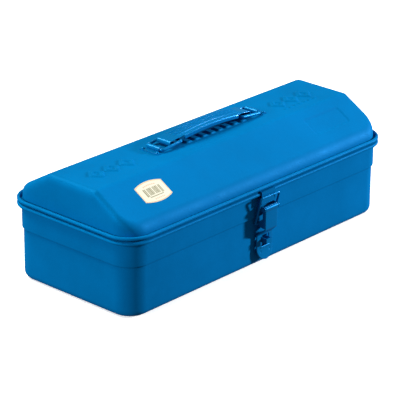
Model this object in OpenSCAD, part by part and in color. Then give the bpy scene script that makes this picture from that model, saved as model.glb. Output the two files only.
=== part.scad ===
// Camber-top metal tool box: pressed sheet body and lid, rear hinges,
// a draw latch with a padlock hasp, and a fold-down handle on the lid.
// Millimetres. X runs along the box, -Y is the latch side, +Z is up,
// and the origin is the middle of the underside.

/* [Box] */
// Length over the lid wall
length = 359; // [300:1:420]
// Depth over the lid wall
depth = 150; // [130:1:170]
// Radius of the four upright corners
corner_r = 21.3; // [18:0.1:24]
// Thickness of the box's sheet steel
sheet = 0.7; // [0.5:0.1:0.9]
// Radius round the foot of the body
foot_r = 7; // [5:0.5:9]
// Height of the shoulder between the lower and upper body wall
shoulder_z = 49.5; // [45:0.5:52]
// How far the upper body wall stands outside the lid wall
upper_out = 1.1; // [0.5:0.1:1.5]
// How far the lower body wall stands inside the lid wall
lower_in = 0.4; // [0:0.1:1]

/* [Rim beads] */
// Top of the body rim
rim_z = 77.2; // [76:0.1:78]
// Gap between the body rim and the lid rim
rim_gap = 0.2; // [0.1:0.05:0.4]
// Radius of the rolled bead
bead_r = 2.4; // [2:0.1:2.6]
// How far a bead stands out from the lid wall
bead_out = 5.5; // [5:0.1:6]

/* [Lid] */
// Height of the flat top
top_z = 114.6; // [110:0.1:118]
// Half the depth of the flat top, to its sharp corner
top_half = 29.6; // [24:0.1:34]
// Height of the eave's sharp corner
eave_z = 87.9; // [86:0.1:90]
// Bend radius of the eave
eave_r = 15; // [10:1:18]
// Bend radius where the slope meets the flat top
ridge_r = 8; // [4:1:12]
// Bend radius over the end walls
end_r = 6; // [4:0.5:8]
// How far an end wall leans in at the top
end_lean = 1.5; // [0:0.1:2]

/* [Hinges] */
// Distance of the hinge axis behind the middle of the box
hinge_y = 84; // [84:0.1:85]
// Distance of each hinge from the middle
hinge_x = 115; // [90:1:125]
// Width of a hinge leaf
leaf_w = 42; // [30:3:48]
// Thickness of a leaf
leaf_t = 1; // [0.8:0.1:1.2]
// Outside radius of a knuckle
knuckle_r = 2.6; // [2.4:0.1:2.7]
// Radius of the hinge pin
hinge_pin_r = 1.5; // [1.2:0.1:1.6]

/* [Latch] */
// Height of the lever's pivot
pivot_z = 60.5; // [59:0.1:62]
// Distance of the lever's pivot in front of the middle
pivot_y = 84.5; // [84:0.1:85]
// Radius of the lever's pivot pin
pivot_pin_r = 1.25; // [1:0.05:1.4]
// Outside radius of the lever's rolled barrel
barrel_r = 2.5; // [2.3:0.1:2.7]
// Half the width of the lever
lever_half = 8.85; // [8:0.05:9]
// Half the width of the round hasp end
hasp_half = 11.5; // [10:0.1:11.6]
// Thickness of the lever's steel
lever_t = 1.2; // [1:0.1:1.3]
// Half the width of the wire link, to the middle of its legs
link_half = 12.8; // [12.7:0.1:14]
// Radius of the link's wire
link_wire_r = 1.1; // [0.9:0.05:1.2]

/* [Handle] */
// Height of the top of the folded handle
handle_top_z = 126.6; // [125:0.1:128]
// Radius of the handle's arch
arch_r = 333; // [320:1:350]
// Half the width of the grip
grip_half = 10; // [9:0.1:10.2]
// Half the length of the wide part of the grip
grip_run = 38; // [36:1:40]
// Half the length of the handle
handle_half = 57.5; // [57:0.5:58]
// Thickness of the handle's steel
handle_t = 1; // [0.8:0.1:1.2]
// Distance of a link's pivot on the lid from the middle
bracket_x = 69; // [68.5:0.5:70]
// Radius of the handle links' wire
ring_wire_r = 1.5; // [1.3:0.1:1.5]
// Half the width of a handle link, to the middle of its legs
ring_half = 10.4; // [10.3:0.1:11]

/* [Label] */
// Width of the paper label
label_w = 34.5; // [30:0.5:40]
// Height of the label's straight sides
label_h = 17.5; // [14:0.5:20]

/* [Hidden] */
$fn = 64;
eps = 0.01;
fit = 0.05; // running clearance of a pin in its bore
blue = [0.0, 0.42, 0.75];

half_l = length / 2;
half_d = depth / 2;
lid_rim_z = rim_z + rim_gap;
bead_d = bead_out - bead_r; // the bead's centre, out from the lid wall
parting_z = (rim_z + lid_rim_z) / 2;
roof_z = 79; // the lid's plain wall ends here and the roof pressing starts
slope = atan2(top_z - eave_z, half_d - top_half);
upper_y = half_d + upper_out;
lower_y = half_d - lower_in;
shoulder_h = 2;

function arc(centre, r, from, to, steps) =
    [for (i = [0:steps]) centre + r * [cos(from + (to - from) * i / steps),
                                       sin(from + (to - from) * i / steps)]];
function mirrored(points) =
    concat(points, [for (i = [len(points) - 1:-1:0]) [-points[i][0], points[i][1]]]);

// --- sweeping a sheet profile round the box ---------------------------------

// The profile's x is the distance out from the lid wall, and its y is height.
module round_the_box() {
    for (i = [0:3])
        translate([(i == 0 || i == 3 ? 1 : -1) * (half_l - corner_r),
                   (i < 2 ? 1 : -1) * (half_d - corner_r), 0])
            rotate([0, 0, 90 * i])
                rotate_extrude(angle = 90)
                    translate([corner_r, 0]) children();
    for (i = [0:3]) {
        long_side = i % 2 == 0;
        run = (long_side ? length : depth) - 2 * corner_r;
        rotate([0, 0, 90 * i])
            rotate([90, 0, 90])
                linear_extrude(height = run, center = true)
                    translate([long_side ? half_d : half_l, 0]) children();
    }
}

// A rounded rectangle, inset from the lid wall.
module plan(inset) {
    square([length - 2 * corner_r, depth - 2 * inset], center = true);
    square([length - 2 * inset, depth - 2 * corner_r], center = true);
    for (x = [-1, 1], y = [-1, 1])
        translate([x * (half_l - corner_r), y * (half_d - corner_r)])
            circle(r = corner_r - inset);
}

// A rolled bead, open towards the wall at wall_d; turn is 1 for a curl that
// hangs from its flange and -1 for one that stands on it.
module rolled_bead(flange_z, turn, wall_d) {
    free_end = wall_d + 0.5;
    difference() {
        translate([bead_d, flange_z - turn * bead_r]) difference() {
            circle(r = bead_r);
            circle(r = bead_r - sheet);
        }
        translate([-5, flange_z - turn * bead_r - 5])
            square([5 + free_end, 10]);
    }
    translate([wall_d - sheet, min(flange_z, flange_z - turn * sheet)])
        square([bead_d - wall_d + sheet, sheet]);
}

// --- body -------------------------------------------------------------------

module body_wall_profile() {
    translate([-lower_in - foot_r, foot_r]) intersection() {
        difference() {
            circle(r = foot_r);
            circle(r = foot_r - sheet);
        }
        translate([0, -foot_r]) square(foot_r);
    }
    translate([-lower_in - foot_r - 3, 0]) square([3, sheet]);
    polygon([
        [-lower_in, foot_r], [-lower_in, shoulder_z],
        [upper_out, shoulder_z + shoulder_h], [upper_out, rim_z],
        [upper_out - sheet, rim_z], [upper_out - sheet, shoulder_z + shoulder_h + 0.2],
        [-lower_in - sheet, shoulder_z + 0.2], [-lower_in - sheet, foot_r]
    ]);
    rolled_bead(rim_z, 1, upper_out);
}

module body_shell() {
    catch_notch = 10.2;
    color(blue) difference() {
        union() {
            round_the_box() body_wall_profile();
            linear_extrude(height = sheet) plan(lower_in + foot_r + 1);
        }
        // relief in the rim, where the lid's catch comes out
        translate([-catch_notch, -half_d - bead_out - 1, catch_z - 0.4])
            cube([2 * catch_notch, bead_out + 2.5, 5]);
    }
}

// --- lid --------------------------------------------------------------------

// The camber and the end outline stand this far outside the plan, so that the
// plan alone makes the upright walls.
outside = 0.15;

// Section of the roof across the box.
function camber(inset) = let (
        wall = half_d + outside,
        eave = [wall - eave_r, eave_z + eave_r * tan(slope) - eave_r / cos(slope)],
        ridge_z = top_z - ridge_r,
        ridge = [wall - (ridge_z - eave_z) / tan(slope) - ridge_r / sin(slope), ridge_z]
    ) mirrored(concat([[wall - inset, roof_z - (inset > 0 ? 1 : 0)]],
                      arc(eave, eave_r - inset, 0, 90 - slope, 10),
                      arc(ridge, ridge_r - inset, 90 - slope, 90, 6)));

// Section of the roof along the box.
function end_outline(inset) = mirrored(concat(
    [[half_l + outside - inset, roof_z - 2], [half_l + outside - inset, eave_z]],
    arc([half_l - end_lean - end_r, top_z - end_r], end_r - inset, 4, 90, 8)));

module roof(inset) {
    intersection() {
        rotate([90, 0, 90])
            linear_extrude(height = length + 2, center = true)
                polygon(camber(inset));
        rotate([90, 0, 0])
            linear_extrude(height = depth + 2, center = true)
                polygon(end_outline(inset));
        translate([0, 0, roof_z - 2])
            linear_extrude(height = top_z) plan(inset);
    }
}

module lid_shell() {
    lap = 0.03; // the rim strip laps the roof's wall on both faces
    color(blue) union() {
        difference() {
            roof(0);
            roof(sheet);
        }
        round_the_box() {
            translate([-sheet - lap, lid_rim_z])
                square([sheet + 2 * lap, roof_z + 1 - lid_rim_z]);
            rolled_bead(lid_rim_z, -1, 0);
        }
    }
}

// --- hinges -----------------------------------------------------------------

knuckle_w = leaf_w / 3;
knuckle_gap = 0.3;
leaf_y = half_d + bead_out + 0.5; // the strip of a leaf that passes behind the beads

// The middle knuckle belongs to the lid, the outer two to the body.
module knuckles(places, up) {
    neck = 6; // the strip that joins a knuckle to its leaf
    for (p = places) translate([p * knuckle_w, 0, 0]) {
        w = knuckle_w - knuckle_gap;
        rotate([0, 90, 0]) cylinder(r = knuckle_r, h = w, center = true);
        translate([-w / 2, leaf_y - hinge_y, up > 0 ? 0 : -neck])
            cube([w, leaf_t, neck]);
    }
}

module hinge_bore() {
    rotate([0, 90, 0]) cylinder(r = hinge_pin_r + fit, h = leaf_w + 2, center = true);
}

module hinge_leaf_body(side) {
    strip_top = parting_z - knuckle_r - 0.5;
    under_bead = rim_z - 2 * bead_r - 0.6;
    leaf_h = 16; // the leaf's flat on the body wall
    color(blue) translate([side * hinge_x, 0, 0]) {
        difference() {
            translate([0, hinge_y, parting_z]) knuckles([-1, 1], -1);
            translate([0, hinge_y, parting_z]) hinge_bore();
        }
        translate([-leaf_w / 2, leaf_y, under_bead - leaf_t])
            cube([leaf_w, leaf_t, strip_top - under_bead + leaf_t]);
        translate([-leaf_w / 2, upper_y, under_bead - leaf_t])
            cube([leaf_w, leaf_y - upper_y + eps, leaf_t]);
        translate([-leaf_w / 2, upper_y, under_bead - leaf_h])
            cube([leaf_w, leaf_t, leaf_h]);
    }
}

module hinge_leaf_lid(side) {
    strip_low = parting_z + knuckle_r + 0.5;
    over_bead = lid_rim_z + 2 * bead_r + 0.5;
    reach_in = 3; // how far the leaf's foot is run in before the roof trims it
    color(blue) translate([side * hinge_x, 0, 0]) {
        difference() {
            translate([0, hinge_y, parting_z]) knuckles([0], 1);
            translate([0, hinge_y, parting_z]) hinge_bore();
        }
        translate([-leaf_w / 2, leaf_y, strip_low])
            cube([leaf_w, leaf_t, over_bead + leaf_t - strip_low]);
        difference() {
            translate([-leaf_w / 2, half_d - reach_in, over_bead])
                cube([leaf_w, leaf_y - half_d + reach_in + eps, leaf_t]);
            translate([-side * hinge_x, 0, 0]) roof(0);
        }
    }
}

module hinge_pin(side) {
    head_t = 0.8;
    run = leaf_w - knuckle_gap;
    color("gray") translate([side * hinge_x, hinge_y, parting_z]) rotate([0, 90, 0]) {
        cylinder(r = hinge_pin_r, h = run + eps, center = true);
        for (s = [-1, 1]) translate([0, 0, s * (run + head_t) / 2])
            cylinder(r = hinge_pin_r + 0.6, h = head_t, center = true);
    }
}

// --- latch ------------------------------------------------------------------

catch_t = 0.9;
catch_z = lid_rim_z - catch_t; // underside of the strip welded to the lid's flange
catch_y = half_d + bead_out + 0.4; // back of the lip
catch_half = 9.4;
lip_low = 64.5;
ear_t = 1;
ear_in = lever_half + 0.25;
plate_t = 1.1;
lever_front = pivot_y + 1.5;
hasp_front = 78.2;
hasp_top = 32;
kink_z = 39;
link_pivot = [-77, 44.5]; // y and z of the link's pivot in the lever
link_bar = [-84, 72.3];   // y and z of the link's top bar
link_bend = 1.6; // bend radius of the link's wire, to its middle

module along_x(r, h) {
    rotate([0, 90, 0]) cylinder(r = r, h = h, center = true);
}

module yz_plate(x, w) {
    translate([x - w / 2, 0, 0]) rotate([90, 0, 90])
        linear_extrude(height = w) children();
}

module latch_base_plate() {
    plate_low = 52.5;
    plate_high = 70;
    ear_r = 2.6;
    outer = ear_in + ear_t;
    color(blue) difference() {
        union() {
            translate([-outer, -upper_y - plate_t, plate_low])
                cube([2 * outer, plate_t, plate_high - plate_low]);
            for (s = [-1, 1]) yz_plate(s * (ear_in + ear_t / 2), ear_t) {
                translate([-pivot_y, pivot_z - ear_r])
                    square([pivot_y - upper_y - plate_t / 2, 2 * ear_r]);
                translate([-pivot_y, pivot_z]) circle(r = ear_r);
            }
        }
        translate([0, -pivot_y, pivot_z]) along_x(pivot_pin_r + fit, 30);
    }
}

module latch_pivot_pin() {
    head_t = 0.6;
    outer = ear_in + ear_t;
    color("gray") translate([0, -pivot_y, pivot_z]) {
        along_x(pivot_pin_r, 2 * outer + eps);
        for (s = [-1, 1]) translate([s * (outer + head_t / 2), 0, 0])
            along_x(pivot_pin_r + 0.35, head_t);
    }
}

module padlock_staple() {
    half_w = 3.8;
    t = 1.1;
    front = 83.8;
    low = 23.5;
    high = 28.5;
    foot_half = 5.6;
    color(blue) {
        for (s = [-1, 1]) {
            translate([s * (half_w - t / 2) - t / 2, -front, low])
                cube([t, front - lower_y, high - low]);
            translate([s > 0 ? half_w - t : -foot_half, -lower_y - 1, low])
                cube([foot_half - half_w + t, 1, high - low]);
        }
        translate([-half_w, -front, low]) cube([2 * half_w, t, high - low]);
    }
}

module latch_catch() {
    color(blue) yz_plate(0, 2 * catch_half) {
        translate([-catch_y - catch_t, lip_low])
            square([catch_t, lid_rim_z - lip_low]);
        translate([-catch_y - catch_t, catch_z])
            square([catch_y + catch_t - half_d + 0.5, catch_t]);
    }
}

// Side outline of the lever's plate, from its barrel to its finger lift.
module lever_side() {
    tip = [-80.6, 6];
    slot_low = 19.5;
    polygon([
        [-lever_front, pivot_z], [-lever_front, kink_z],
        [-hasp_front, hasp_top], [-hasp_front, slot_low], tip,
        tip + [lever_t, 0.2], [-hasp_front + lever_t, slot_low + 0.2],
        [-hasp_front + lever_t, hasp_top + 0.6],
        [-lever_front + lever_t, kink_z + 0.6], [-lever_front + lever_t, pivot_z]
    ]);
}

// Front outline of the lever: a strap that flares into a round hasp end.
module lever_front_outline() {
    round_z = 6.4 + hasp_half;
    translate([0, round_z]) circle(r = hasp_half);
    polygon(mirrored([[0, round_z], [hasp_half, round_z], [hasp_half, hasp_top - 0.5],
                      [lever_half, kink_z - 1.5], [lever_half, pivot_z + 1], [0, pivot_z + 1]]));
}

// The slot in the hasp end, which the padlock staple comes through.
module lever_slot() {
    slot_half = 6;
    slot_from = 20;
    slot_to = 31;
    cut_d = 12;
    translate([-slot_half, -lever_front - 1, slot_from])
        cube([2 * slot_half, cut_d, slot_to - slot_from]);
}

module latch_lever() {
    flange_d = 3.5;
    ear_r = 1.8;
    flange_top = pivot_z - barrel_r - 0.5;
    color(blue) difference() {
        union() {
            difference() {
                intersection() {
                    yz_plate(0, 2 * hasp_half + 2) lever_side();
                    translate([0, -70, 0]) rotate([90, 0, 0])
                        linear_extrude(height = 30) lever_front_outline();
                }
                lever_slot();
            }
            translate([0, -pivot_y, pivot_z]) along_x(barrel_r, 2 * lever_half);
            for (s = [-1, 1]) yz_plate(s * (lever_half - lever_t / 2), lever_t) {
                translate([-lever_front, kink_z + 1])
                    square([flange_d, flange_top - kink_z - 1]);
                polygon([[-lever_front + lever_t, link_pivot[1] + 5],
                         [link_pivot[0], link_pivot[1] + ear_r],
                         [link_pivot[0], link_pivot[1] - ear_r],
                         [-lever_front + lever_t, link_pivot[1] - 4]]);
                translate(link_pivot) circle(r = ear_r);
            }
        }
        translate([0, -pivot_y, pivot_z]) along_x(pivot_pin_r + fit, 30);
        translate([0, link_pivot[0], link_pivot[1]]) along_x(link_wire_r + fit, 30);
    }
}

// A wire bent into a rectangle in the XY plane, measured to the wire's middle:
// half_w each way along X, from y = 0 to y = high. gap_half opens its y = 0 side.
module wire_frame(half_w, high, wire_r, bend_r, gap_half) {
    for (s = [-1, 1], top = [0, 1]) {
        translate([s * (half_w - bend_r), top ? high - bend_r : bend_r, 0])
            rotate([0, 0, top ? (s > 0 ? 0 : 90) : (s > 0 ? 270 : 180)])
                rotate_extrude(angle = 90) translate([bend_r, 0]) circle(r = wire_r);
        translate([s * half_w, bend_r, 0]) rotate([-90, 0, 0])
            cylinder(r = wire_r, h = high - 2 * bend_r);
    }
    translate([0, high, 0]) along_x(wire_r, 2 * (half_w - bend_r));
    for (s = gap_half > 0 ? [-1, 1] : [0])
        translate([s * (half_w - bend_r + gap_half) / 2, 0, 0])
            along_x(wire_r, gap_half > 0 ? half_w - bend_r - gap_half : 2 * (half_w - bend_r));
}

module latch_link() {
    leg = link_bar - link_pivot;
    foot_in = lever_half - lever_t - 0.3;
    color(blue) translate([0, link_pivot[0], link_pivot[1]])
        rotate([atan2(leg[1], leg[0]), 0, 0])
            wire_frame(link_half, norm(leg), link_wire_r, link_bend, foot_in);
}

// --- handle -----------------------------------------------------------------

ring_pivot_z = 117;
ring_inner = [43, 119.5]; // x and z of a link's inner bar at rest
ring_bend = 2.2; // bend radius of the links' wire, to its middle
tongue_half = grip_half - 1.4; // half the width of the rolled ends
roll_r = 2.7;
roll_x = handle_half - roll_r;
rib_step = 5;
rib_run = 44; // half the length of the pressed ribs

// A ring segment round the arch's centre, seen from the side, between two depths
// below the top of the arch and between x = -run and x = run.
module arch_band(depth_top, depth_low, run) {
    translate([0, handle_top_z - arch_r]) intersection() {
        difference() {
            circle(r = arch_r - depth_top, $fn = 256);
            circle(r = arch_r - depth_low, $fn = 256);
        }
        translate([-run, arch_r - 20]) square([2 * run, 25]);
    }
}

module across(width) {
    rotate([90, 0, 0]) linear_extrude(height = width, center = true) children();
}

// A pressed rib, a round that stands a little out of the plate.
module rib(y) {
    rib_r = 1.1;
    rib_rise = 0.45;
    rib_root = 0.5; // how deep the rib reaches into the plate
    turn = asin(rib_run / arch_r);
    translate([0, y, handle_top_z - arch_r]) rotate([90, 0, 0]) rotate([0, 0, 90 - turn])
        rotate_extrude(angle = 2 * turn, $fn = 256) difference() {
            translate([arch_r - rib_r + rib_rise, 0]) circle(r = rib_r);
            translate([arch_r - rib_root - 2 * rib_r, -rib_r - 1])
                square([2 * rib_r, 2 * rib_r + 2]);
        }
}

module handle_grip() {
    lap = 0.4; // how far the plate runs on into its rolled ends
    flange = 4;
    color(blue) {
        difference() {
            across(2 * grip_half) arch_band(0, flange, roll_x + lap);
            across(2 * (grip_half - handle_t)) arch_band(handle_t, flange + 2, roll_x + lap + 1);
            // the flanges stop where the narrow ends begin
            for (s = [-1, 1], y = [-1, 1])
                translate([s > 0 ? grip_run : -handle_half, y > 0 ? tongue_half : -2 * grip_half,
                           handle_top_z - 20])
                    cube([handle_half - grip_run, 2 * grip_half - tongue_half, 25]);
        }
        for (s = [-1, 1]) handle_roll(s);
        for (y = [-rib_step, 0, rib_step]) rib(y);
    }
}

// The end of the handle, rolled under so that the link's bar runs in it.
module handle_roll(s) {
    top = handle_top_z - arch_r + sqrt(arch_r * arch_r - roll_x * roll_x);
    low = top - 2 * roll_r;
    return_end = 45;
    translate([s * roll_x, 0, top - roll_r]) rotate([90, 0, 0])
        linear_extrude(height = 2 * tongue_half, center = true) difference() {
            circle(r = roll_r);
            circle(r = roll_r - handle_t);
            translate([s > 0 ? -2 * roll_r : 0, -roll_r]) square(2 * roll_r);
        }
    translate([s > 0 ? return_end : -roll_x, -tongue_half, low])
        cube([roll_x - return_end, 2 * tongue_half, handle_t]);
}

module handle_link(s) {
    reach = [bracket_x - ring_inner[0], ring_inner[1] - ring_pivot_z];
    // the frame's y = 0 side turns in the bracket, and its far side runs in the handle
    color(blue) translate([s * bracket_x, 0, ring_pivot_z])
        rotate([0, s * atan2(reach[1], reach[0]), 0])
            rotate([0, 0, s * 90])
                wire_frame(ring_half, norm(reach), ring_wire_r, ring_bend, 0);
}

bracket_half = 7.4; // half the width of the loop over the link's bar
rivet_x = bracket_x + 6;
rivet_y = 9;

bracket_t = 0.8; // thickness of a bracket's base

module handle_bracket(s) {
    loop_r = 2.5;
    base_end = bracket_x + 8.5;
    base_half = rivet_y + 2.2;
    swing = 6; // room round each leg of the link
    leg_in = bracket_half + 0.3;
    leg_out = base_half + 0.8;
    color(blue) difference() {
        union() {
            translate([s > 0 ? bracket_x - 1 : -base_end, -base_half, top_z])
                cube([base_end - bracket_x + 1, 2 * base_half, bracket_t]);
            translate([s * bracket_x, 0, ring_pivot_z]) rotate([90, 0, 0])
                cylinder(r = loop_r, h = 2 * bracket_half, center = true);
        }
        translate([s * bracket_x, 0, ring_pivot_z]) rotate([90, 0, 0])
            cylinder(r = ring_wire_r + fit, h = 60, center = true);
        // the legs' swing, and the lid's own surface
        for (y = [-1, 1])
            translate([s * bracket_x - swing / 2, y > 0 ? leg_in : -leg_out, top_z - 1])
                cube([swing, leg_out - leg_in, swing]);
        translate([s * bracket_x - 15, -20, top_z - 5]) cube([30, 40, 5]);
    }
}

module handle_rivets() {
    base_top = top_z + bracket_t;
    dome_r = 1.6;
    color(blue) for (s = [-1, 1], y = [-1, 1])
        translate([s * rivet_x, y * rivet_y, base_top]) difference() {
            sphere(r = dome_r);
            translate([-5, -5, -10]) cube([10, 10, 10]);
        }
}

// --- label ------------------------------------------------------------------

module label() {
    paper = 0.15;
    bulge_r = 46;
    bulge_out = sqrt(bulge_r * bulge_r - label_w * label_w / 4);
    centre_x = -122;
    centre_y = 48.8;
    centre_z = eave_z + (half_d + outside - centre_y) * tan(slope);
    color("ivory") translate([centre_x, -centre_y, centre_z]) rotate([slope, 0, 0])
        linear_extrude(height = paper) intersection() {
            square([label_w, 2 * label_h], center = true);
            translate([0, label_h / 2 - bulge_out]) circle(r = bulge_r);
            translate([0, bulge_out - label_h / 2]) circle(r = bulge_r);
        }
}

// --- the parts --------------------------------------------------------------

body_shell();
hinge_leaf_body(-1);  // hinge_leaf_body_left
hinge_leaf_body(1);  // hinge_leaf_body_right
hinge_pin(-1);  // hinge_pin_left
hinge_pin(1);  // hinge_pin_right
latch_base_plate();
latch_pivot_pin();
padlock_staple();
lid_shell();
hinge_leaf_lid(-1);  // hinge_leaf_lid_left
hinge_leaf_lid(1);  // hinge_leaf_lid_right
latch_catch();
handle_bracket(-1);  // handle_bracket_left
handle_bracket(1);  // handle_bracket_right
handle_rivets();
label();
handle_grip();
handle_link(-1);  // handle_link_left
handle_link(1);  // handle_link_right
latch_lever();
latch_link();
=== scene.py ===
"""Looks for the camber-top metal tool box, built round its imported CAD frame.

Lengths in the geometry sections are millimetres, turned to metres by MM.
"""
import math

import bmesh
import bpy
import numpy as np
from mathutils import Matrix, Vector


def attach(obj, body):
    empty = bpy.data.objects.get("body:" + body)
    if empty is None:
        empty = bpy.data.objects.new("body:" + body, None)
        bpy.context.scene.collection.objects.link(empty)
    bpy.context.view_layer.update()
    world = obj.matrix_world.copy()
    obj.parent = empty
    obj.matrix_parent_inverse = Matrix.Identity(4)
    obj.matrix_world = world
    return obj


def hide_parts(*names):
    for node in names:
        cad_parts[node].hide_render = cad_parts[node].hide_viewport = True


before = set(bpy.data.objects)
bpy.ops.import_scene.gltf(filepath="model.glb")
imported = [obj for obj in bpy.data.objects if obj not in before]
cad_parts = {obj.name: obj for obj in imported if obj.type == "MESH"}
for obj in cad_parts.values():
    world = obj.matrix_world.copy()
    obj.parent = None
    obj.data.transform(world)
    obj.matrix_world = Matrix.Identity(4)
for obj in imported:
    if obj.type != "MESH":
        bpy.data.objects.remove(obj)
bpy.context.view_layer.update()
MM = 0.001


# --- camera -----------------------------------------------------------------

AZIMUTH, ELEVATION, ROLL = -48.014, 22.353, 0.585  # degrees
TARGET, DISTANCE = Vector((0, 0, 0.060)), 2.1306  # metres
SENSOR, LENS = 36, 199.67
SHIFT = (-0.0095, -0.0401)


def add_camera():
    azimuth, elevation, roll = (math.radians(a) for a in (AZIMUTH, ELEVATION, ROLL))
    back = Vector((math.sin(azimuth) * math.cos(elevation),
                   -math.cos(azimuth) * math.cos(elevation), math.sin(elevation)))
    right = Vector((math.cos(azimuth), math.sin(azimuth), 0))
    up = back.cross(right)
    right, up = (right * math.cos(roll) + up * math.sin(roll),
                 up * math.cos(roll) - right * math.sin(roll))
    data = bpy.data.cameras.new("camera")
    data.sensor_width = SENSOR
    data.lens = LENS
    data.shift_x, data.shift_y = SHIFT
    data.clip_end = 100
    camera = bpy.data.objects.new("camera", data)
    bpy.context.scene.collection.objects.link(camera)
    camera.matrix_world = Matrix.Translation(TARGET + back * DISTANCE) @ Matrix(
        (right, up, back)).transposed().to_4x4()
    bpy.context.scene.camera = camera


add_camera()


# --- materials --------------------------------------------------------------

class Nodes:
    """A small helper round one material's node tree."""

    def __init__(self, name):
        """A new material of that name, with its object coordinates at hand."""
        self.material = bpy.data.materials.new(name)
        self.material.use_nodes = True
        self.tree = self.material.node_tree
        self.shader = self.tree.nodes["Principled BSDF"]
        self.coords = self.tree.nodes.new("ShaderNodeTexCoord").outputs["Object"]

    def add(self, kind, values=(), **settings):
        """A node, its settings, and a value or a link for each input named in values."""
        node = self.tree.nodes.new(kind)
        for key, value in settings.items():
            setattr(node, key, value)
        for key, value in dict(values).items():
            if hasattr(value, "is_output"):
                self.tree.links.new(value, node.inputs[key])
            else:
                node.inputs[key].default_value = value
        return node

    def noise(self, scale, detail=3.0, roughness=0.5, stretch=None):
        where = self.coords
        if stretch:
            where = self.add("ShaderNodeMapping", {"Vector": where, "Scale": stretch}).outputs[0]
        return self.add("ShaderNodeTexNoise", {
            "Vector": where, "Scale": scale, "Detail": detail,
            "Roughness": roughness}).outputs["Fac"]

    def ramp(self, fac, low, high, start=0.0, end=1.0):
        """fac mapped from low..high to start..end, and held at the ends."""
        return self.add("ShaderNodeMapRange", {
            "Value": fac, "From Min": low, "From Max": high,
            "To Min": start, "To Max": end}).outputs[0]

    def maths(self, operation, a, b):
        return self.add("ShaderNodeMath", {0: a, 1: b}, operation=operation).outputs[0]

    def mix(self, fac, a, b):
        """Two colours mixed: 0, 6 and 7 are the factor's and the colours' sockets."""
        return self.add("ShaderNodeMix", {0: fac, 6: a, 7: b}, data_type="RGBA").outputs[2]

    def bump(self, height, distance, normal=None):
        values = {"Height": height, "Distance": distance, "Strength": 1.0}
        if normal:
            values["Normal"] = normal
        return self.add("ShaderNodeBump", values).outputs[0]

    def out(self, **sockets):
        """The material, with the shader's sockets set or linked."""
        for key, value in sockets.items():
            socket = self.shader.inputs[key.replace("_", " ")]
            if hasattr(value, "is_output"):
                self.tree.links.new(value, socket)
            else:
                socket.default_value = value
        return self.material


def colour(r, g, b, level=1.0):
    return (r * level, g * level, b * level, 1)


PEEL_HEIGHT, WAVE_HEIGHT, FIBRE_HEIGHT = 0.00005, 0.00012, 0.00002  # metres
SHINE = (0.02, 0.8, 1.0, 1)  # the enamel's highlights are nearly as blue as it is


def enamel(name, base, rough=0.52, peel=1.0, edge_highlight=0.5, lacquer=0.0, metal=0.08, gloss=0.2):
    """Stoved satin enamel on steel: a fine orange peel, slow shifts of tone,
    faint scuffs, dust specks, and a painted highlight: a paler tone along sharp edges and
    creases."""
    n = Nodes(name)
    broad = n.noise(9.0, 2.0)
    cloud = n.noise(60.0, 4.0, 0.6)
    grain = n.noise(900.0, 2.0)
    tone = n.mix(n.ramp(broad, 0.3, 0.7), colour(*base, 0.9), colour(*base, 1.08))
    tone = n.mix(n.ramp(cloud, 0.35, 0.75, 0, 0.22), tone, colour(*base, 1.25))
    tone = n.mix(n.ramp(grain, 0.55, 0.8, 0, 0.25), tone, colour(*base, 0.7))
    # painted highlight: sharp edges and creases get a paler, bluer tone in patches, standing in
    # for the light caught there
    edge = n.add("ShaderNodeNewGeometry").outputs["Pointiness"]
    edge = n.maths("MULTIPLY", n.ramp(edge, 0.54, 0.62), n.ramp(cloud, 0.45, 0.65))
    tone = n.mix(n.maths("MULTIPLY", edge, edge_highlight), tone,
                 colour(base[0] + 0.01, base[1] + 0.10, base[2] + 0.16))
    scuffs = n.ramp(n.noise(240.0, 3.0, 0.6, stretch=(0.12, 1.0, 1.0)), 0.66, 0.8)
    roughness = n.maths("ADD", n.ramp(cloud, 0.3, 0.7, rough - 0.05, rough + 0.06),
                        n.maths("MULTIPLY", scuffs, 0.12))
    peel_bump = n.bump(n.noise(420.0, 2.0, 0.55), PEEL_HEIGHT * peel)
    normal = n.bump(n.noise(22.0, 1.0, 0.3), WAVE_HEIGHT * peel, normal=peel_bump)
    return n.out(Base_Color=tone, Roughness=roughness, Normal=normal, Metallic=metal,
                 IOR=1.12, Specular_IOR_Level=gloss, Specular_Tint=SHINE,
                 Coat_Weight=lacquer, Coat_Roughness=0.12)


def paper(name, base):
    """Coated sticker paper, slightly yellowed and uneven."""
    n = Nodes(name)
    fibre = n.noise(1500.0, 4.0, 0.65)
    stain = n.noise(45.0, 3.0)
    tone = n.mix(n.ramp(stain, 0.3, 0.7), colour(*base, 0.95), colour(*base, 1.03))
    tone = n.mix(n.ramp(fibre, 0.5, 0.8, 0, 0.35), tone, colour(*base, 0.86))
    return n.out(Base_Color=tone, Roughness=n.ramp(fibre, 0.3, 0.7, 0.5, 0.62),
                 Normal=n.bump(fibre, FIBRE_HEIGHT))


SHELL_BLUE = (0.0, 0.132, 0.375)
FITTING_BLUE = (0.0, 0.135, 0.38)
shell_paint = enamel("enamel_shell", SHELL_BLUE, peel=2.2)
fitting_paint = enamel("enamel_fittings", FITTING_BLUE, rough=0.27, peel=0.5, edge_highlight=0.0,
                       lacquer=0.08, metal=0.22, gloss=0.45)


# --- mesh helpers -----------------------------------------------------------

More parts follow.
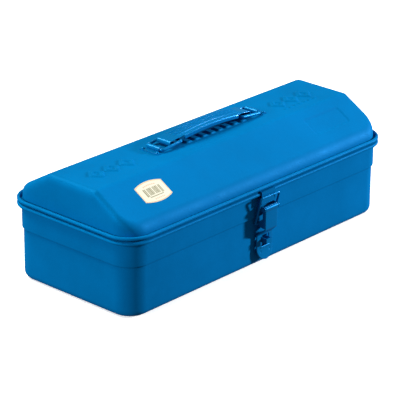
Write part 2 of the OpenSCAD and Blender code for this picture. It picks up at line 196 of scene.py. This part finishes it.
def make_piece(name, verts, faces, material, body, sharp, weld=0.0):
    """A mesh piece from points in millimetres, smooth but for edges over sharp degrees."""
    mesh = bpy.data.meshes.new(name)
    mesh.from_pydata([tuple(c * MM for c in v) for v in verts], [], faces)
    if weld:
        work = bmesh.new()
        work.from_mesh(mesh)
        bmesh.ops.remove_doubles(work, verts=work.verts, dist=weld * MM)
        bmesh.ops.dissolve_degenerate(work, edges=work.edges, dist=weld * MM * 0.1)
        bmesh.ops.recalc_face_normals(work, faces=work.faces)
        work.to_mesh(mesh)
        work.free()
    mesh.polygons.foreach_set("use_smooth", [True] * len(mesh.polygons))
    mesh.set_sharp_from_angle(angle=math.radians(sharp))
    mesh.materials.append(material)
    piece = bpy.data.objects.new(name, mesh)
    bpy.context.scene.collection.objects.link(piece)
    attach(piece, body)
    return piece


def ring_faces(columns, rows, close_columns=True, start=0):
    """Quads for a grid of columns * rows points, listed column by column."""
    faces = []
    for i in range(columns if close_columns else columns - 1):
        here, there = start + i * rows, start + (i + 1) % columns * rows
        for j in range(rows - 1):
            faces.append((here + j, there + j, there + j + 1, here + j + 1))
    return faces


def arc(cx, cz, r, a0, a1, steps):
    """Points on a circle from angle a0 to a1, in degrees."""
    return [(cx + r * math.cos(math.radians(a0 + (a1 - a0) * i / steps)),
             cz + r * math.sin(math.radians(a0 + (a1 - a0) * i / steps)))
            for i in range(steps + 1)]


def thicken(line, half):
    """Both sides of a sheet whose middle follows line: (left side, right side)."""
    p = np.array(line, float)
    d = np.diff(p, axis=0)
    d /= np.linalg.norm(d, axis=1)[:, None]
    n = np.stack([-d[:, 1], d[:, 0]], 1)
    m = np.vstack([n[:1], n[:-1] + n[1:], n[-1:]])
    m /= np.linalg.norm(m, axis=1)[:, None]
    end = np.ones((1, 1))
    mitre = np.vstack([end, (m[1:-1] * n[1:]).sum(1)[:, None], end])
    m /= np.clip(mitre, 0.5, 1)
    return p + m * half, p - m * half


# --- the box's measures, as in the frame ------------------------------------

HALF_L, HALF_D, CORNER, SHEET = 179.5, 75.0, 21.3, 0.7
RIM_Z, LID_RIM_Z = 77.2, 77.4
BEAD_R, BEAD_OUT = 2.4, 5.5
# the curls are drawn slimmer than the frame's beads, with the same outer edge,
# so that a dark gap shows between the two rims
CURL_R = 1.75
CURL_D = BEAD_OUT - CURL_R
TOP_Z, TOP_HALF, EAVE_Z = 114.6, 29.6, 87.9
SLOPE = math.atan2(TOP_Z - EAVE_Z, HALF_D - TOP_HALF)
SLOPE_OUT = 0.15  # the slope's plane passes this far outside the wall at EAVE_Z
INNER_X, INNER_Y = HALF_L - CORNER, HALF_D - CORNER
CORNER_STEPS = 12


def perimeter(long_xs, end_ys):
    """Columns round the box, anticlockwise: (centre x, centre y, normal x, normal y)."""
    columns = []
    for quarter, (sx, sy) in enumerate(((1, 1), (-1, 1), (-1, -1), (1, -1))):
        for i in range(CORNER_STEPS + 1):
            a = math.radians(90 * quarter + 90 * i / CORNER_STEPS)
            columns.append((sx * INNER_X, sy * INNER_Y, math.cos(a), math.sin(a)))
        if quarter == 0:
            columns += [(x, INNER_Y, 0, 1) for x in sorted(long_xs, reverse=True)]
        elif quarter == 1:
            columns += [(-INNER_X, y, -1, 0) for y in sorted(end_ys, reverse=True)]
        elif quarter == 2:
            columns += [(x, -INNER_Y, 0, -1) for x in sorted(long_xs)]
        else:
            columns += [(INNER_X, y, 1, 0) for y in sorted(end_ys)]
    return columns


# --- body shell -------------------------------------------------------------

def body_section():
    """Middle of the body's sheet, from its floor round the foot to the rim's curl."""
    lower, upper, h = -0.4 - SHEET / 2, 1.1 - SHEET / 2, SHEET / 2
    foot_r, neck_r = 6.65, 0.9
    line = [(lower - 9, h)] + arc(lower - foot_r, 7, foot_r, -90, 0, 10)
    line += [(lower, 20), (lower, 35), (lower, 49.5)]
    line += [(lower + 0.06, 50.0), (lower + 0.3, 50.45), (upper - 0.3, 50.85),
             (upper - 0.06, 51.3), (upper, 51.8), (upper, 60), (upper, 75.6)]
    line += arc(upper + neck_r, RIM_Z - h - neck_r, neck_r, 180, 90, 4)[1:]
    return line + arc(CURL_D, RIM_Z - BEAD_R, CURL_R - h, 90, -128, 20)


def build_body():
    """The body's drawn shell, its rim's top cut down where the catch passes."""
    notch, notch_z = 10.2, 76.1
    xs = [-120, -80, -40, -notch - 0.06, -notch, -4, 4, notch, notch + 0.06, 40, 80, 120]
    columns = perimeter(xs, [-30, 0, 30])
    inner, outer = thicken(body_section(), SHEET / 2)
    rows = [tuple(p) for p in outer] + [tuple(p) for p in inner[::-1]]
    verts = []
    for cx, cy, nx, ny in columns:
        for out, z in rows:
            if ny == -1 and abs(cx) <= notch and out > 0.2:
                z = min(z, notch_z)
            verts.append((cx + nx * (CORNER + out), cy + ny * (CORNER + out), z))
    count = len(rows)
    faces = ring_faces(len(columns), count)
    # the floor's two sides
    faces.append([i * count for i in range(len(columns))][::-1])
    faces.append([i * count + count - 1 for i in range(len(columns))])
    piece = make_piece("body_pressing", verts, faces, shell_paint, "body",
                       sharp=40, weld=0.001)
    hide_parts("body_shell")


build_body()


# --- lid shell --------------------------------------------------------------

def blend_max(a, b, r):
    """The larger of two distances, with a rounded corner of size r between them."""
    both = np.maximum(a, b)
    corner = np.hypot(np.maximum(a + r, 0), np.maximum(b + r, 0)) - r
    return np.where((a > -r) & (b > -r), corner, both)


def lid_distance(x, y, z, inset):
    """Signed distance, near enough, to the lid's outer surface moved in by inset."""
    crease_r, shoulder_r, end_shoulder_r = 1.3, 7.4, 5.8
    lean_from, lean_rate = 90, 0.03
    qx, qy = np.abs(x) - INNER_X, np.abs(y) - INNER_Y
    out_x, out_y = np.maximum(qx, 0), np.maximum(qy, 0)
    reach = np.hypot(out_x, out_y)
    plan = reach + np.minimum(np.maximum(qx, qy), 0) - CORNER
    # 0 along the front and back, 1 on the ends
    endness = np.clip(out_x / np.maximum(reach, 1e-6), 0, 1)
    slope = ((np.abs(y) - HALF_D - SLOPE_OUT) * math.sin(SLOPE)
             + (z - EAVE_Z) * math.cos(SLOPE))
    crown = blend_max(slope, z - TOP_Z, crease_r)
    lean = np.maximum(z - lean_from, 0) * lean_rate * endness
    shoulder = shoulder_r - (shoulder_r - end_shoulder_r) * endness
    return blend_max(crown, plan + lean, shoulder) + inset


def cast(ox, oy, oz, dx, dy, dz, inset):
    """Where rays from inside the lid meet its surface, by halving."""
    longest, halvings = 130.0, 34
    low, high = np.zeros_like(ox), np.full_like(ox, longest)
    for _ in range(halvings):
        mid = (low + high) / 2
        inside = lid_distance(ox + dx * mid, oy + dy * mid, oz + dz * mid, inset) < 0
        low, high = np.where(inside, mid, low), np.where(inside, high, mid)
    return ox + dx * low, oy + dy * low, oz + dz * low


def smoothstep(t):
    t = np.clip(t, 0, 1)
    return t * t * (3 - 2 * t)


def bar(x, y, cx, cy, half_x, half_y, r, edge=0.9):
    """1 inside a round-cornered rectangle, falling to 0 across its edge."""
    qx, qy = np.abs(x - cx) - half_x + r, np.abs(y - cy) - half_y + r
    d = np.hypot(np.maximum(qx, 0), np.maximum(qy, 0)) + np.minimum(np.maximum(qx, qy), 0) - r
    return 1 - smoothstep(d / edge + 0.5)


def lozenge(x, y, cx, cy, half_x, half_y, edge=0.9):
    """1 inside a diamond, falling to 0 across its edge."""
    d = np.abs(x - cx) / half_x + np.abs(y - cy) / half_y - 1
    d = d * half_x * half_y / math.hypot(half_x, half_y)
    return 1 - smoothstep(d / edge + 0.5)


def embossing(x, y):
    """Height of the pressed marks on the lid: a sunk panel, lozenges, dashes, bars
    and a line, all plain."""
    e = np.zeros_like(x)
    # sunk name-plate panel on the front slope
    e -= 0.7 * bar(x, y, 125, -48.6, 25.6, 8.6, 1.5, 1.2)
    # three lozenges with sunk middles at each end of the top
    for end_x in (-129, 123):
        for k in range(-1, 2):
            cx, cy = end_x + k * 19.5, -3.5
            e += 1.25 * lozenge(x, y, cx, cy, 8.6, 9.5)
            e -= 0.9 * lozenge(x, y, cx, cy, 4.2, 4.6)
    # dashes in front of the right-hand lozenges, and bars and a line by the handle
    for k in range(7):
        e += 0.85 * bar(x, y, 100 + k * 7.2, -17.4, 2.4, 1.2, 1.0)
    for k in range(8):
        e += 1.3 * bar(x, y, -32 + k * 11, -6, 3.6, 4.6, 1.6)
    e += 0.7 * bar(x, y, -20, -24.2, 24, 0.9, 0.8)
    return e


def lid_lines():
    """Sample lines along X and Y, close together where the lid is embossed."""
    fine = [np.arange(-158, -95.5, 1.1), np.arange(-46, 53, 1.2), np.arange(92, 154.5, 1.1)]
    coarse = [np.linspace(-88, -52, 7), np.linspace(58, 86, 6), [156]]
    xs = np.unique(np.round(np.concatenate(fine + coarse), 3))
    xs = xs[(xs > -INNER_X + 0.3) & (xs < INNER_X - 0.3)]
    ys = np.concatenate([np.linspace(-53, -34, 25), np.linspace(-33, -26, 12),
                         np.arange(-25, 11.5, 1.0), np.linspace(13, 25, 6),
                         np.linspace(26, 33, 12), np.linspace(36, 52, 6)])
    return list(xs), list(ys)


def lid_rows():
    """Ray origins (distance out from the corner's centre) and angles, ridge to wall."""
    rows = [(r, 90.0) for r in (0, 0.5, 1, 1.5, 2, 2.5, 3, 3.5, 4, 4.6, 5.5, 7, 9, 11, 13)]
    angles = [88.5, 87, 85.5, 84, 82.5, 81, 79.5, 78, 76, 74, 71,
              66, 60, 53, 46, 38, 30, 23, 16, 10, 5, 0]
    return rows + [(13.0, a) for a in angles]


def lid_skin(columns, xs, ys, inset):
    """Ring points, column by column from the ridge side to the wall, and the middle's grid.
    Only the outer skin, with no inset, carries the embossing."""
    rows = np.array(lid_rows())
    c = np.array(columns)
    r0, a = rows[:, 0][None, :], np.radians(rows[:, 1])[None, :]
    shape = (len(columns), len(rows))
    ox, oy = c[:, 0:1] + c[:, 2:3] * r0, c[:, 1:2] + c[:, 3:4] * r0
    dx, dy, dz = c[:, 2:3] * np.cos(a), c[:, 3:4] * np.cos(a), np.sin(a) + 0 * c[:, 0:1]
    base, roof_z = 79.0, 92
    rx, ry, rz = cast(ox, oy, np.full(shape, base), dx, dy, dz, inset)
    gx, gy = np.meshgrid([-INNER_X] + xs + [INNER_X], [-INNER_Y] + ys + [INNER_Y],
                         indexing="ij")
    zero = np.zeros_like(gx)
    _, _, gz = cast(gx, gy, zero + base, zero, zero, zero + 1, inset)
    if inset == 0:
        rz = rz + embossing(rx, ry) * (rz > roof_z)
        gz = gz + embossing(gx, gy)
    return np.stack([rx, ry, rz], -1), np.stack([gx, gy, gz], -1)


def build_lid():
    """The lid's drawn shell: an outer and an inner skin, joined at the rim's curl."""
    xs, ys = lid_lines()
    columns = perimeter(xs, ys)
    h, neck_r = SHEET / 2, 0.8
    # the rim strip, from under the roof's wall down and out round the curl
    line = [(-h, 78.6)] + arc(-h + neck_r, LID_RIM_Z + h + neck_r, neck_r, 180, 270, 4)
    line += arc(CURL_D, LID_RIM_Z + BEAD_R, CURL_R - h, -90, 192, 22)
    left, right = thicken(line, h)
    verts, faces = [], []

    def add_skin(inset, strip, flip):
        ring, grid = lid_skin(columns, xs, ys, inset)
        start = len(verts)
        for (cx, cy, nx, ny), column in zip(columns, ring):
            verts.extend(map(tuple, column))
            verts.extend((cx + nx * (CORNER + o), cy + ny * (CORNER + o), z)
                         for o, z in strip)
        count = ring.shape[1] + len(strip)
        made = ring_faces(len(columns), count, start=start)
        middle = len(verts)
        verts.extend(map(tuple, grid.reshape(-1, 3)))
        made += ring_faces(*grid.shape[:2], close_columns=False, start=middle)
        faces.extend(f[::-1] for f in made) if flip else faces.extend(made)
        return [start + i * count + count - 1 for i in range(len(columns))]

    outer_end = add_skin(0.0, left, False)
    inner_end = add_skin(SHEET, right, True)
    n = len(columns)
    for i in range(n):
        j = (i + 1) % n
        faces.append((outer_end[i], outer_end[j], inner_end[j], inner_end[i]))
    piece = make_piece("lid_pressing", verts, faces, shell_paint, "lid",
                       sharp=50, weld=0.004)
    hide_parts("lid_shell")


build_lid()


# --- pressed strips: the latch's lever and the handle ------------------------

OUTER_STEPS, BEND_STEPS, FLANGE_STEPS = 4, 4, 3


def strip_columns(across):
    """Columns over one strip: (side, share of the inner run, share of the outer run,
    bend angle)."""
    inner = [(k / across, 0.0, 0.0) for k in range(across + 1)]
    outer = [(1.0, k / OUTER_STEPS, 0.0) for k in range(1, OUTER_STEPS + 1)]
    bend = [(1.0, 1.0, 90.0 * k / BEND_STEPS) for k in range(1, BEND_STEPS + 1)]
    half = inner + outer + bend
    return [(-1,) + c for c in half[:0:-1]] + [(1,) + c for c in half]


def strip_points(row, columns, limit):
    """Points of one row: (across, a, b). A row is (a, b, normal a, normal b,
    half width, bend radius), where a and b lie in the strip's own section plane, and
    limit is where the inner run ends."""
    a, b, na, nb, half, r = row
    flat = half - r
    inner = min(limit, 0.62 * flat)
    points = []
    for side, share_in, share_out, turn in columns:
        t = math.radians(turn)
        x = inner * share_in + (flat - inner) * share_out + r * math.sin(t)
        drop = r * (1 - math.cos(t))
        points.append((side * x, a - na * drop, b - nb * drop))
    return points


def build_strip(name, node, body, rows, flange, shift, place, across, limit, thickness,
                hole=None):
    """A pressed strip that stands for a node: a sheet that follows rows, bent down along
    both edges. flange[row] is the extra depth of the edge's flange, or 0;
    shift(across, row) lifts the surface along its normal; place turns a strip point
    into x, y and z; hole(across, row) drops faces."""
    columns = strip_columns(across)
    grid = []
    for k, row in enumerate(rows):
        grid.append([(x, a + row[2] * shift(x, k), b + row[3] * shift(x, k))
                     for x, a, b in strip_points(row, columns, limit)])
    n = len(columns)
    verts = [place(p) for line in grid for p in line]
    faces = []
    for k in range(len(rows) - 1):
        for c in range(n - 1):
            middle = sum(grid[r][q][0] for r in (k, k + 1) for q in (c, c + 1)) / 4
            if hole is None or not hole(middle, k):
                here, there = k * n + c, (k + 1) * n + c
                faces.append((here, here + 1, there + 1, there))
    for edge in (0, n - 1):
        made = {}
        for k, row in enumerate(rows):
            if flange[k] <= 0:
                continue
            x, a, b = grid[k][edge]
            made[k] = [k * n + edge]
            for i in range(1, FLANGE_STEPS + 1):
                d = flange[k] * i / FLANGE_STEPS
                made[k].append(len(verts))
                verts.append(place((x, a - row[2] * d, b - row[3] * d)))
        for k in made:
            if k + 1 in made:
                for i in range(FLANGE_STEPS):
                    quad = (made[k][i], made[k + 1][i], made[k + 1][i + 1], made[k][i + 1])
                    faces.append(quad[::-1] if edge else quad)
    piece = make_piece(name, verts, faces, fitting_paint, body, sharp=180)
    wall = piece.modifiers.new("wall", "SOLIDIFY")
    wall.thickness = thickness * MM
    wall.offset = -1
    edges = piece.modifiers.new("soft_edges", "BEVEL")
    edges.width = 0.16 * MM
    edges.segments = 2
    edges.limit_method = "ANGLE"
    edges.angle_limit = math.radians(50)
    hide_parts(node)


def along(points):
    """Unit normals (left of the run) for a polyline of (a, b) points."""
    p = np.array(points, float)
    d = np.gradient(p, axis=0)
    d /= np.linalg.norm(d, axis=1)[:, None]
    return np.stack([-d[:, 1], d[:, 0]], 1)


def gauss(d, width):
    """A bump of height 1 at d = 0."""
    return math.exp(-(d / width) ** 2)


def ease(t):
    """smoothstep of one number."""
    return float(smoothstep(np.array(t)))


def build_lever():
    """The latch's lever, from the barrel round its pivot down to the hasp's tongue."""
    pivot_y, pivot_z, barrel = -84.5, 60.5, 2.5
    front, hasp = -86.0, -78.2  # y of the face and of the hasp
    half, hasp_half, round_z = 8.85, 11.5, 17.9
    link_z, ear_r, ear_d = 44.5, 1.8, 7.9
    line = arc(pivot_y, pivot_z, barrel - 0.05, -60, 205, 22)
    # after the roll: down the face, in over the kink, down the hasp, out to the lift
    line += [(front - 0.34, 58.75), (front - 0.09, 58.2)]
    line += [(front, z) for z in np.arange(57.6, 40.4, -0.6)]
    line += [(front, 40.2), (front + 0.15, 39.6), (front + 0.7, 38.8), (front + 2.2, 37.4),
             (front + 4.4, 35.4), (hasp - 1.2, 33.4), (hasp - 0.35, 32.5), (hasp, 31.7),
             (hasp, 31.0)]
    line += [(hasp, z) for z in np.arange(30.2, 20.3, -0.8)]
    line += [(hasp, 20.0), (hasp - 0.1, 19.4)]
    line += [(hasp - 0.1 - 2.3 * t ** 1.4, 19.4 - 12.9 * t) for t in np.linspace(0.04, 1, 26)]

    def ear(z):
        """Depth of the flange where it reaches back to the link's pivot."""
        away = abs(z - link_z)
        if away < ear_r:
            return ear_d + math.sqrt(ear_r ** 2 - away ** 2)
        return ear_d * ((49.8 - z) / 3.5 if z > link_z else (z - 39.6) / 3.1)

    rows, flange = [], []
    for (y, z), (ny, nz) in zip(line, along(line)):
        barrel_row = z > 57.7 or y > front + 0.3 and z > 50
        if barrel_row:
            w, r = half, 0.45
        elif z > 39.5:
            w, r = half, 1.0
        elif z > 31.5:
            w, r = half + (hasp_half - half) * ease((39.5 - z) / 7.0), 1.0
        elif z > round_z:
            w, r = hasp_half, 0.9
        else:
            w, r = math.sqrt(max(hasp_half ** 2 - (round_z - z) ** 2, 1.5)), 0.8
        rows.append((y, z, -ny, -nz, w, r))
        flange.append(max(2.4, ear(z)) if 40.3 < z < 57.7 and not barrel_row else 0.0)

    def hole(x, k):
        """The slot the staple comes through."""
        return abs(x) < 6.0 and rows[k][1] <= 31.05 and rows[k + 1][1] >= 19.95

    def shift(x, k):
        """A raised lip under the slot, and two dimples in the tongue."""
        z = rows[k][1]
        if z > 31:
            return 0.0
        lip = 0.75 * gauss(z - 19.2, 1.0) * ease((7.2 - abs(x)) / 1.4)
        dimple = -0.55 * gauss(math.hypot(abs(x) - 6.2, z - 14.8), 0.75)
        return lip + dimple

    build_strip("lever_pressing", "latch_lever", "lever", rows, flange, shift,
                lambda p: (-p[0], p[1], p[2]), across=12, limit=6.0, thickness=1.15, hole=hole)


def build_handle():
    """The arched handle, from one rolled end to the other."""
    top, radius = 126.3, 333.0
    roll_x, roll_r, tongue, grip, wide = 54.8, 2.7, 8.6, 10.0, 38.0
    rib, rib_half, sink = 1.14, 1.4, 0.4
    crown = top - radius
    roll_top = crown + math.sqrt(radius ** 2 - roll_x ** 2)
    xs = np.concatenate([np.linspace(roll_x, 47, 6), np.arange(46, 38.2, -0.8),
                         [38.1, 38.0], np.arange(37.2, 30, -1.0), np.linspace(29, 0, 16)])
    right = [(x, crown + math.sqrt(radius ** 2 - x ** 2)) for x in xs]
    curl = [(45.2, roll_top - 2 * roll_r), (50, roll_top - 2 * roll_r)]
    curl += arc(roll_x, roll_top - roll_r, roll_r, -90, 84, 18)
    half = curl + right
    line = half + [(-x, z) for x, z in half[-2::-1]]
    rows, flange = [], []
    for (x, z), (nx, nz) in zip(line, along(line)):
        is_wide = abs(x) <= wide
        rows.append((x, z, -nx, -nz, grip if is_wide else tongue, 1.4 if is_wide else 0.5))
        flange.append(2.6 if is_wide else 0.0)

    def shift(y, k):
        """Three ribs along the arch, with the plate between them a little lower."""
        x, z = rows[k][:2]
        if z < roll_top - 0.3:
            return 0.0
        ribs = sum(rib * math.cos(min(abs(y - c) / rib_half, 1) * math.pi / 2) ** 2
                   for c in (-5, 0, 5))
        return ease((45.6 - abs(x)) / 2.4) * (ribs - sink)

    build_strip("handle_pressing", "handle_grip", "handle", rows, flange, shift,
                lambda p: (p[1], p[0], p[2]), across=20, limit=6.9, thickness=0.8)


build_lever()
build_handle()


# --- sticker ----------------------------------------------------------------

def build_label():
    """The sticker on the lid's front slope, and its printing as thin raised films."""
    label_x, label_y, sheet_t, film_t = -122, 48.8, 0.12, 0.01
    centre = Vector((label_x, -label_y,
                     EAVE_Z + (HALF_D + SLOPE_OUT - label_y) * math.tan(SLOPE)))
    up = Vector((0, math.cos(SLOPE), math.sin(SLOPE)))
    out = Vector((0, -math.sin(SLOPE), math.cos(SLOPE)))
    half_w, side_h, bulge = 17.25, 8.75, 46.0

    def outline(inset):
        """Straight sides, and bulging top and bottom edges."""
        w = half_w - inset
        rise = side_h - math.sqrt(bulge ** 2 - half_w ** 2)
        r = bulge - inset
        over = [(x, rise + math.sqrt(r * r - x * x)) for x in np.linspace(-w, w, 25)]
        return over + [(x, -v) for x, v in over[::-1]]

    def at(u, v, height):
        return centre + Vector((u, 0, 0)) + up * v + out * height

    def sheet_piece(name, loops, height, thick, material):
        """Flat films with a closed outline, or between an outer and an inner one."""
        verts, faces = [], []
        for loop, inner in loops:
            start, n = len(verts), len(loop)
            verts += [at(u, v, height + thick) for u, v in loop]
            verts += [at(u, v, height) for u, v in loop]
            faces += [(start + k, start + n + k, start + n + (k + 1) % n, start + (k + 1) % n)
                      for k in range(n)]
            if inner is None:
                faces.append(tuple(range(start, start + n)))
                faces.append(tuple(range(start + 2 * n - 1, start + n - 1, -1)))
            else:
                verts += [at(u, v, height + thick) for u, v in inner]
                verts += [at(u, v, height) for u, v in inner]
                for k in range(n):
                    a, b = start + k, start + (k + 1) % n
                    faces += [(a, b, b + 2 * n, a + 2 * n), (a + n, a + 3 * n, b + 3 * n, b + n),
                              (a + 2 * n, b + 2 * n, b + 3 * n, a + 3 * n)]
        return make_piece(name, verts, faces, material, "lid", sharp=30)

    cream = paper("label_paper", (0.66, 0.62, 0.52))
    orange = paper("label_edge_print", (0.64, 0.38, 0.19))
    grey = paper("label_stripe_print", (0.25, 0.23, 0.15))
    faint = paper("label_faint_print", (0.58, 0.34, 0.24))
    sheet = sheet_piece("label_sheet", [(outline(0), None)], 0.0, sheet_t, cream)
    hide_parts("label")
    sheet_piece("label_border", [(outline(0.35), outline(1.05))], sheet_t, film_t, orange)

    def box(u, v, w, h):
        return [(u - w / 2, v - h / 2), (u + w / 2, v - h / 2),
                (u + w / 2, v + h / 2), (u - w / 2, v + h / 2)]

    # stripes of made-up widths, which encode nothing
    stripes, u, stripe_h = [], -10.6, 9.0
    for k in range(12):
        w = 1.5 if k % 4 == 0 else 1.0
        drop = 0.7 if 1 < k < 10 else 0.0
        stripes.append((box(u + w / 2, 0.2 + drop / 2, w, stripe_h - drop), None))
        u += w + (1.4 if k % 4 == 1 else 0.45)
    stripes.append((box(0.3, -5.4, 17.0, 0.9), None))
    sheet_piece("label_stripes", stripes, sheet_t, film_t, grey)
    dashes = [(box(x, 7.6 - 0.012 * x * x, 1.5, 1.1), None) for x in np.arange(-7, 8.1, 2.3)]
    dashes += [(box(x, -8.4, 1.2, 1.2), None) for x in np.arange(-4, 7.1, 2.2)]
    sheet_piece("label_dashes", dashes, sheet_t, film_t, faint)


build_label()


# --- carried-over CAD nodes -------------------------------------------------

replaced = {"body_shell", "lid_shell", "latch_lever", "handle_grip", "label"}
for name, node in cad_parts.items():
    if name in replaced:
        continue
    node.data.materials.clear()
    node.data.materials.append(fitting_paint)
    soften = node.modifiers.new("soften", "BEVEL")
    soften.width = 0.22 * MM
    soften.segments = 2
    soften.limit_method = "ANGLE"
    soften.angle_limit = math.radians(40)


# --- floor and light --------------------------------------------------------

def add_floor():
    """A plain pale floor that lights nothing, so that the lower walls keep their colour."""
    half = 40.0
    mesh = bpy.data.meshes.new("floor")
    corners = [(-half, -half, 0), (half, -half, 0), (half, half, 0), (-half, half, 0)]
    mesh.from_pydata(corners, [], [(0, 1, 2, 3)])
    n = Nodes("floor")
    tone = n.mix(n.ramp(n.noise(3.0), 0.3, 0.7), (0.88, 0.88, 0.89, 1), (0.92, 0.92, 0.92, 1))
    mesh.materials.append(n.out(Base_Color=tone, Roughness=0.9,
                                Emission_Color=(1, 1, 1, 1), Emission_Strength=0.5))
    floor = bpy.data.objects.new("floor", mesh)
    bpy.context.scene.collection.objects.link(floor)
    floor.visible_diffuse = False
    floor.visible_glossy = False


def add_area(name, place, target, width, height, power, tint=(1, 1, 1)):
    """A rectangular lamp at place, facing target, in metres and watts."""
    data = bpy.data.lights.new(name, "AREA")
    data.shape = "RECTANGLE"
    data.size, data.size_y = width, height
    data.energy = power
    data.color = tint
    lamp = bpy.data.objects.new(name, data)
    bpy.context.scene.collection.objects.link(lamp)
    lamp.matrix_world = Matrix.Translation(place) @ (
        Vector(target) - Vector(place)).to_track_quat("-Z", "Y").to_matrix().to_4x4()


add_floor()
add_area("overhead", (-0.7, 1.6, 2.4), (0, 0, 0.05), 1.4, 1.4, 104, (0.9, 1.0, 0.8))
add_area("top_right", (1.75, -0.15, 2.2), (0, 0, 0.1), 0.18, 0.9, 14)
add_area("front_right", (3.4, -2.2, 1.15), (0, 0, 0.05), 0.45, 0.45, 285)
add_area("left_side", (-2.6, 0.4, 0.9), (0, 0, 0.05), 0.7, 0.7, 52)

world = bpy.data.worlds.new("studio")
world.use_nodes = True
background = world.node_tree.nodes["Background"]
background.inputs["Color"].default_value = (1, 1, 1, 1)
background.inputs["Strength"].default_value = 0.19
bpy.context.scene.world = world
bpy.context.scene.view_settings.view_transform = "Standard"
